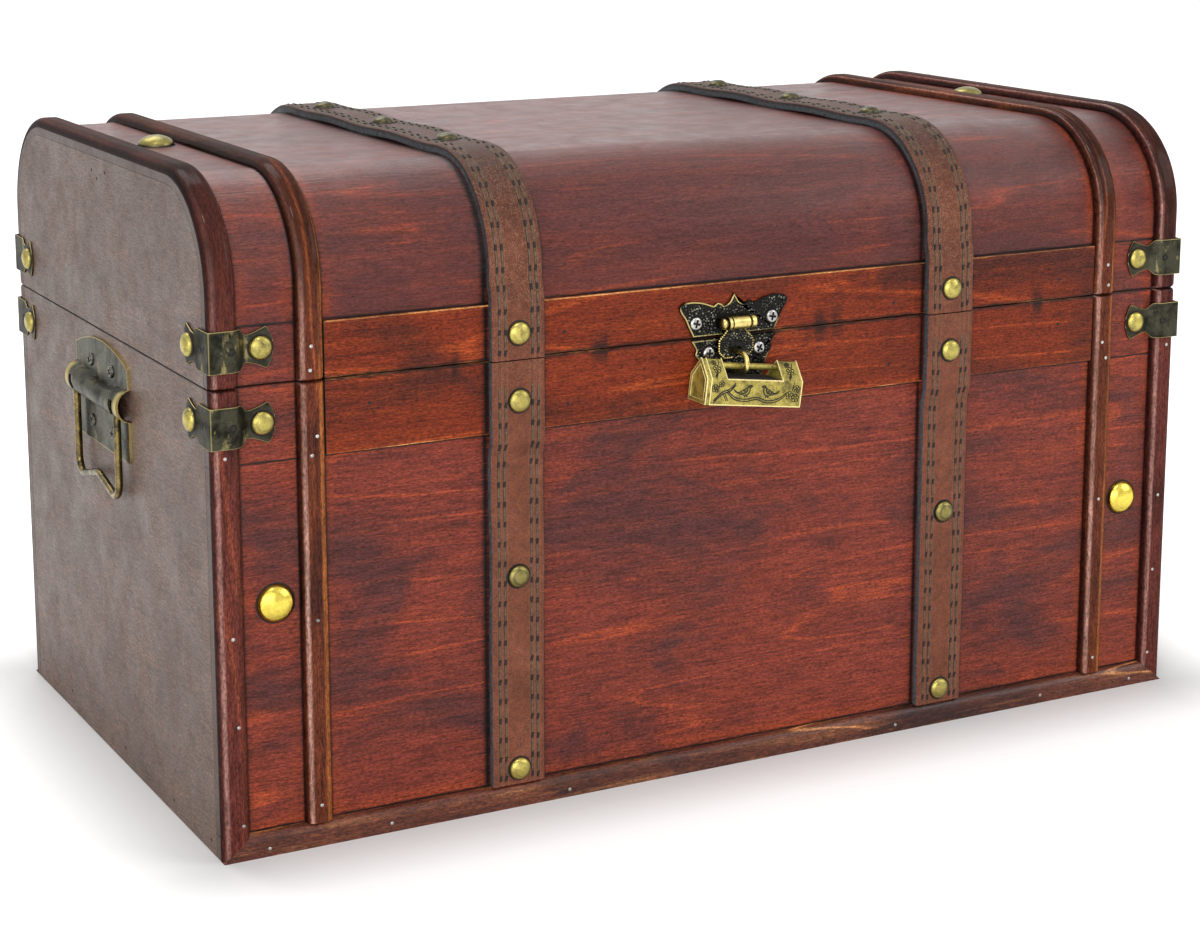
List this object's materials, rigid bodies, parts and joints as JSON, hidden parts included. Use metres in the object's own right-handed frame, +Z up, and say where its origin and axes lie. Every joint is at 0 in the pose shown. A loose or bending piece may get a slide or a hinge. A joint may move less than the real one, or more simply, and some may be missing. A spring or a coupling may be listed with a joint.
{
  "type": "treasure chest",
  "caption": "Wooden storage chest with a bent hinged lid, leather straps, brass corner brackets, a hinged hasp, a hanging padlock with a sliding bolt, and wire bail handles on the ends.",
  "frame": {"origin": "on the floor, under the middle of the box between its end panels and between its front and back panels", "axes": "+X to the right along the length, +Y to the back where the hinges are, +Z up"},
  "size_m": [0.514, 0.3019, 0.2923],
  "materials": {
    "panel_wood": "satin, red-brown stain with worn patches",
    "end_wood": "satin, brown stain",
    "moulding_wood": "gloss, dark red-brown stain",
    "bottom_wood": "matt, unfinished",
    "strap_leather": "satin, dark edges, two stitch rows on each side",
    "nail_brass": "antique",
    "bracket_brass": "antique, worn edges",
    "handle_brass": "antique",
    "hinge_brass": "antique",
    "hasp_brass": "antique, worn edges",
    "lock_brass": "antique, engraved",
    "screw_steel": "bright, cross recess"
  },
  "bodies": {
    "base": {"base_back_batten": "panel_wood", "base_back_panel": "panel_wood", "base_corner_brackets": "bracket_brass", "base_corner_moulding_back_left": "moulding_wood", "base_corner_moulding_back_right": "moulding_wood", "base_corner_moulding_front_left": "moulding_wood", "base_corner_moulding_front_right": "moulding_wood", "base_dome_nails": "nail_brass", "base_front_batten": "panel_wood", "base_front_panel": "panel_wood", "base_left_end_panel": "end_wood", "base_right_end_panel": "end_wood", "base_strap_back_left": "strap_leather", "base_strap_back_right": "strap_leather", "base_strap_front_left": "strap_leather", "base_strap_front_right": "strap_leather", "base_strip_back_left": "moulding_wood", "base_strip_back_right": "moulding_wood", "base_strip_front_left": "moulding_wood", "base_strip_front_right": "moulding_wood", "base_stud_nails": "nail_brass", "bottom_board": "bottom_wood", "bottom_moulding_back": "moulding_wood", "bottom_moulding_front": "moulding_wood", "handle_plate_left": "handle_brass", "handle_plate_right": "handle_brass", "handle_screws": "screw_steel", "hasp_base_screws": "screw_steel", "hasp_lower_plate": "hasp_brass", "hasp_staple": "hasp_brass", "hinge_base_leaf_left": "hinge_brass", "hinge_base_leaf_right": "hinge_brass", "hinge_base_screws": "screw_steel", "hinge_pin_left": "hinge_brass", "hinge_pin_right": "hinge_brass"},
    "lid": {"hasp_lid_screws": "screw_steel", "hasp_pin": "hasp_brass", "hasp_upper_plate": "hasp_brass", "hinge_lid_leaf_left": "hinge_brass", "hinge_lid_leaf_right": "hinge_brass", "hinge_lid_screws": "screw_steel", "lid_back_batten": "panel_wood", "lid_corner_brackets": "bracket_brass", "lid_dome_nails": "nail_brass", "lid_front_batten": "panel_wood", "lid_left_end_panel": "end_wood", "lid_moulding_left": "moulding_wood", "lid_moulding_right": "moulding_wood", "lid_right_end_panel": "end_wood", "lid_skin": "panel_wood", "lid_strap_left": "strap_leather", "lid_strap_right": "strap_leather", "lid_strip_left": "moulding_wood", "lid_strip_right": "moulding_wood", "lid_stud_nails": "nail_brass"},
    "hasp_tongue": {"hasp_tongue": "hasp_brass"},
    "padlock": {"padlock_body": "lock_brass"},
    "padlock_bolt": {"padlock_bolt": "lock_brass"},
    "bail_left": {"bail_left": "handle_brass"},
    "bail_right": {"bail_right": "handle_brass"}
  },
  "joints": [
    {"name": "lid_hinge", "type": "hinge", "parent": "base", "child": "lid", "pos_m": [0, 0.1428, 0.20225], "axis": [-1, 0, 0], "range_deg": [0, 100]},
    {"name": "tongue_hinge", "type": "hinge", "parent": "lid", "child": "hasp_tongue", "pos_m": [-0.004, -0.1429, 0.2085], "axis": [-1, 0, 0], "range_deg": [0, 160]},
    {"name": "padlock_swing", "type": "hinge", "parent": "base", "child": "padlock", "pos_m": [-0.004, -0.1476, 0.18965], "axis": [-0.9914, 0, 0.1305], "range_deg": [0, 60]},
    {"name": "bolt_slide", "type": "slide", "parent": "padlock", "child": "padlock_bolt", "axis": [-0.9914, 0, 0.1305], "range_m": [0, 0.035]},
    {"name": "bail_left_hinge", "type": "hinge", "parent": "base", "child": "bail_left", "pos_m": [-0.25395, 0.0035, 0.1745], "axis": [0, 1, 0], "range_deg": [0, 90]},
    {"name": "bail_right_hinge", "type": "hinge", "parent": "base", "child": "bail_right", "pos_m": [0.25395, 0.0035, 0.1745], "axis": [0, -1, 0], "range_deg": [0, 90]}
  ]
}
